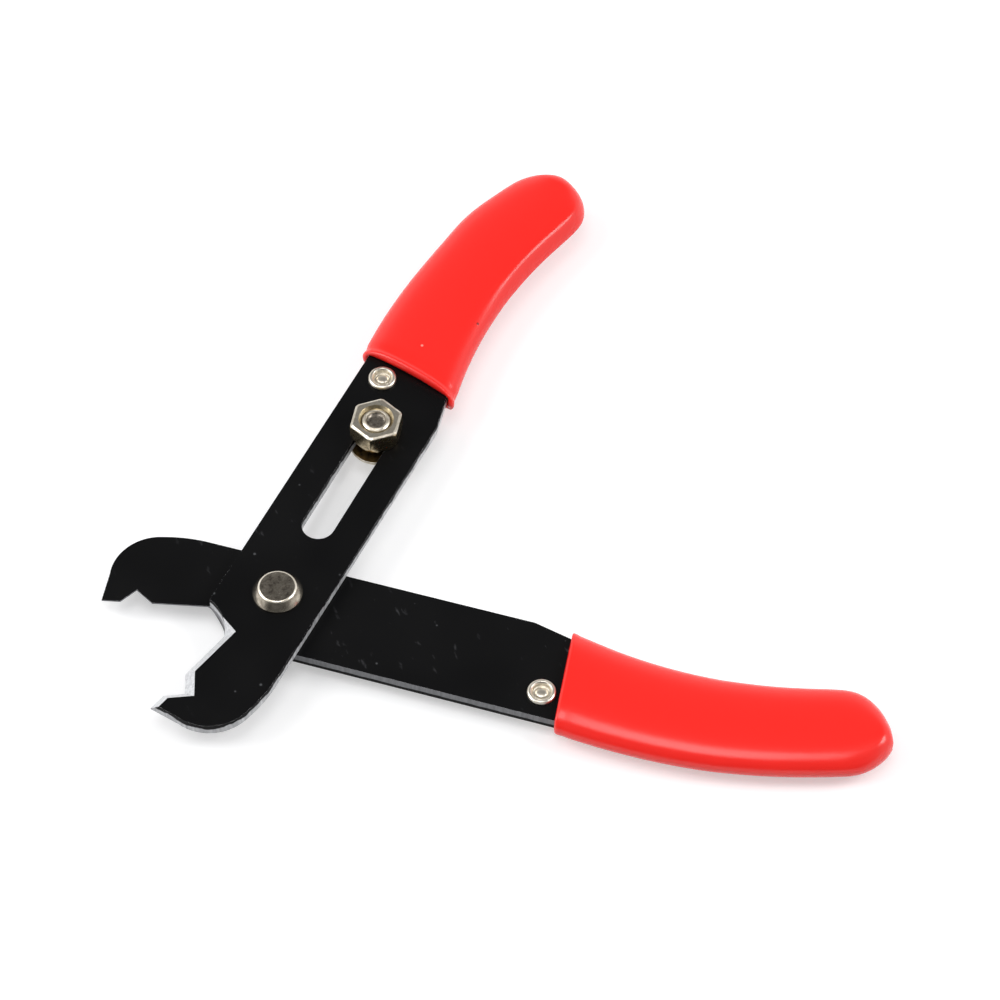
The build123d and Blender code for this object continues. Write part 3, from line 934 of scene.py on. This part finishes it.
# Adjusting nut. A plain M5 hexagon nut, nickel plated: six flats with their corners turned off round
# at both faces, the lower ones deeper, and a countersunk bore. Its faces carry no marks.
nut_box_low, nut_box_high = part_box("stop_nut")
nut_centre = (nut_box_low + nut_box_high) / 2
nut_low = nut_box_low.z / mm
nut_high = nut_box_high.z / mm
nut_flat = 4.0
nut_corner = 4.6
nut_bore = 2.47
nut_steps = 96
nut_turned = 14.0
mouth_radius = 2.95
side_high = nut_high - 0.3

# Darker, browner nickel in the countersink, on the flats and underneath: painted shade and a painted dark
# reflection of the black arm, against the plain plate of the top face.
nickel_painted_shade_and_reflection = plated_metal("nickel_countersink_and_flats_painted_shade", "#D8C8A4", "#8A7858", 0.9, 0.12, (0.2, 0.32))


def nut_ring(form, edges, flat, rounding, height):
    """Extrudes the last ring on to a hexagon of this flat radius, turned round at this radius."""
    if edges:
        ring, edges = extrude_ring(form, edges)
    else:
        ring = bmesh.ops.create_circle(form, segments=nut_steps, radius=1.0)["verts"]
        edges = list(form.edges)
    for vert in ring:
        direction = vert.co.xy.normalized()
        off_flat = (degrees(atan2(direction.y, direction.x)) % 60.0) - 30.0
        radius = min(flat / cos(radians(off_flat)), rounding) * mm
        vert.co = (direction.x * radius, direction.y * radius, height * mm)
    return edges


nut_form = bmesh.new()
ring_edges = []
for flat, rounding, height in (
    (nut_bore, nut_bore, nut_low + 0.4), (2.9, 2.9, nut_low), (3.85, 3.95, nut_low),
    (3.98, 4.1, nut_low + 0.1), (nut_flat, 4.3, nut_low + 0.6), (nut_flat, nut_corner, nut_low + 1.2),
    (nut_flat, nut_corner, nut_high - 0.5), (nut_flat, 4.56, nut_high - 0.38), (3.98, 4.46, nut_high - 0.26),
    (3.91, 4.36, nut_high - 0.16), (3.58, 4.0, nut_high), (mouth_radius, mouth_radius, nut_high),
    (2.72, 2.72, nut_high - 0.2), (nut_bore, nut_bore, nut_high - 0.5),
):
    ring_edges = nut_ring(nut_form, ring_edges, flat, rounding, height)
open_edges = [edge for edge in nut_form.edges if edge.is_boundary]
bmesh.ops.bridge_loops(nut_form, edges=open_edges)
bmesh.ops.recalc_face_normals(nut_form, faces=nut_form.faces)
for face in nut_form.faces:
    middle = face.calc_center_median()
    face.smooth = True
    # All but the top face and its rim take the darker nickel: painted shade and reflection.
    if middle.xy.length < mouth_radius * mm or middle.z < side_high * mm:
        face.material_index = 1
for edge in nut_form.edges:
    edge.smooth = edge.calc_face_angle() < sharp_angle
bmesh.ops.rotate(nut_form, cent=(0, 0, 0), matrix=Matrix.Rotation(half_open + radians(nut_turned), 3, "Z"),
                 verts=nut_form.verts)
bmesh.ops.translate(nut_form, vec=(nut_centre.x, nut_centre.y, 0), verts=nut_form.verts)
finish_piece("adjusting_nut", nut_form, [nickel_plate, nickel_painted_shade_and_reflection], "nut", ["stop_nut"])


# Return spring. Spring steel wire 0.8 mm thick, wound once and a quarter round the pivot's shoulder
# under the arms, with a straight leg along the back of each arm and a hook round its rivet.
wire_radius = 0.4
coil_radius = 4.4
hook_radius = 2.03
hook_wrap = 190
hook_steps = 24
leg_steps = 12
coil_steps = 90
wire_light = "#8E8D8B"
wire_dark = "#67635E"
spring_low, spring_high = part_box("return_spring")
low_leg_z = spring_low.z / mm + wire_radius
high_leg_z = spring_high.z / mm - wire_radius
rivet_low, rivet_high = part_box("upper_rivet")
rivet_at = ((rivet_low + rivet_high) / 2).xy / mm
leg_angle = atan2(rivet_at.y, rivet_at.x) - asin((coil_radius - hook_radius) / rivet_at.length)
wire_points = []
for i in range(hook_steps + 1):
    turn = leg_angle + pi / 2 - radians(hook_wrap) * (1 - i / hook_steps)
    around = rivet_at + hook_radius * Vector((cos(turn), sin(turn)))
    wire_points.append((around.x, around.y, low_leg_z))
coil_first = leg_angle + pi / 2
coil_last = 4 * pi - coil_first
leg_start = Vector((coil_radius * cos(coil_first), coil_radius * sin(coil_first), low_leg_z))
leg_end = Vector(wire_points[-1])
wire_points += [leg_end.lerp(leg_start, i / leg_steps) for i in range(1, leg_steps)]
lower_part = list(wire_points)
for i in range(coil_steps + 1):
    turn = coil_first + (coil_last - coil_first) * i / coil_steps
    height = low_leg_z + (high_leg_z - low_leg_z) * i / coil_steps
    wire_points.append((coil_radius * cos(turn), coil_radius * sin(turn), height))
for point in reversed(lower_part):
    wire_points.append((point[0], -point[1], high_leg_z))
wire_points = [Vector(point) * mm for point in wire_points]

spring_wire = new_material("oiled_spring_steel_wire")
tree = spring_wire.node_tree
place = coat_coordinates(tree)
drawn = node(tree, "ShaderNodeTexNoise", None, {"Vector": place, "Scale": per_size(0.5), "Detail": 4.0})
film = node(tree, "ShaderNodeTexNoise", None, {"Vector": place, "Scale": per_size(6.0), "Detail": 2.0})
wire = node(tree, "ShaderNodeBsdfPrincipled", None, {
    "Base Color": ramp(tree, film.outputs["Fac"], 0.35, 0.65, linear(wire_light), linear(wire_dark)),
    "Metallic": 1.0,
    "Roughness": ramp(tree, drawn.outputs["Fac"], 0.3, 0.7, grey(0.24), grey(0.36)),
})
node(tree, "ShaderNodeOutputMaterial", None, {"Surface": wire.outputs[0]})


def drawn_wire(points, radius):
    """A round wire along a line of points: each step extrudes the last ring on to the next point."""
    form = bmesh.new()
    ring = bmesh.ops.create_circle(form, segments=20, radius=radius)["verts"]
    direction = (points[1] - points[0]).normalized()
    facing = direction.to_track_quat("Z", "Y")
    bmesh.ops.transform(form, matrix=Matrix.LocRotScale(points[0], facing, None), verts=ring)
    edges = list(form.edges)
    bmesh.ops.contextual_create(form, geom=edges)
    for before, at, after in zip(points, points[1:], points[2:] + points[-1:]):
        ring, edges = extrude_ring(form, edges)
        ahead = ((at - before).normalized() + (after - at).normalized()).normalized()
        turn = direction.rotation_difference(ahead).to_matrix().to_4x4()
        move = Matrix.Translation(at) @ turn @ Matrix.Translation(-before)
        bmesh.ops.transform(form, matrix=move, verts=ring)
        direction = ahead
    bmesh.ops.contextual_create(form, geom=edges)
    bmesh.ops.recalc_face_normals(form, faces=form.faces)
    for face in form.faces:
        face.smooth = len(face.verts) < 6
    return form


arm_spring = finish_piece("arm_spring", drawn_wire(wire_points, wire_radius * mm), [spring_wire], None,
                          ["return_spring"])
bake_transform(arm_spring, "lower_arm", "upper_arm", start=(0, -3.2 * mm, 0), end=(0, 3.2 * mm, 0))


# Spring spacer. A plain turned steel ring on the upper rivet that keeps the spring's leg down in line
# with its coil. The CAD solid is its true shape and stays.
spacer = frame["nodes"]["rivet_spacer"]
for slot in spacer.material_slots:
    slot.material = nickel_plate
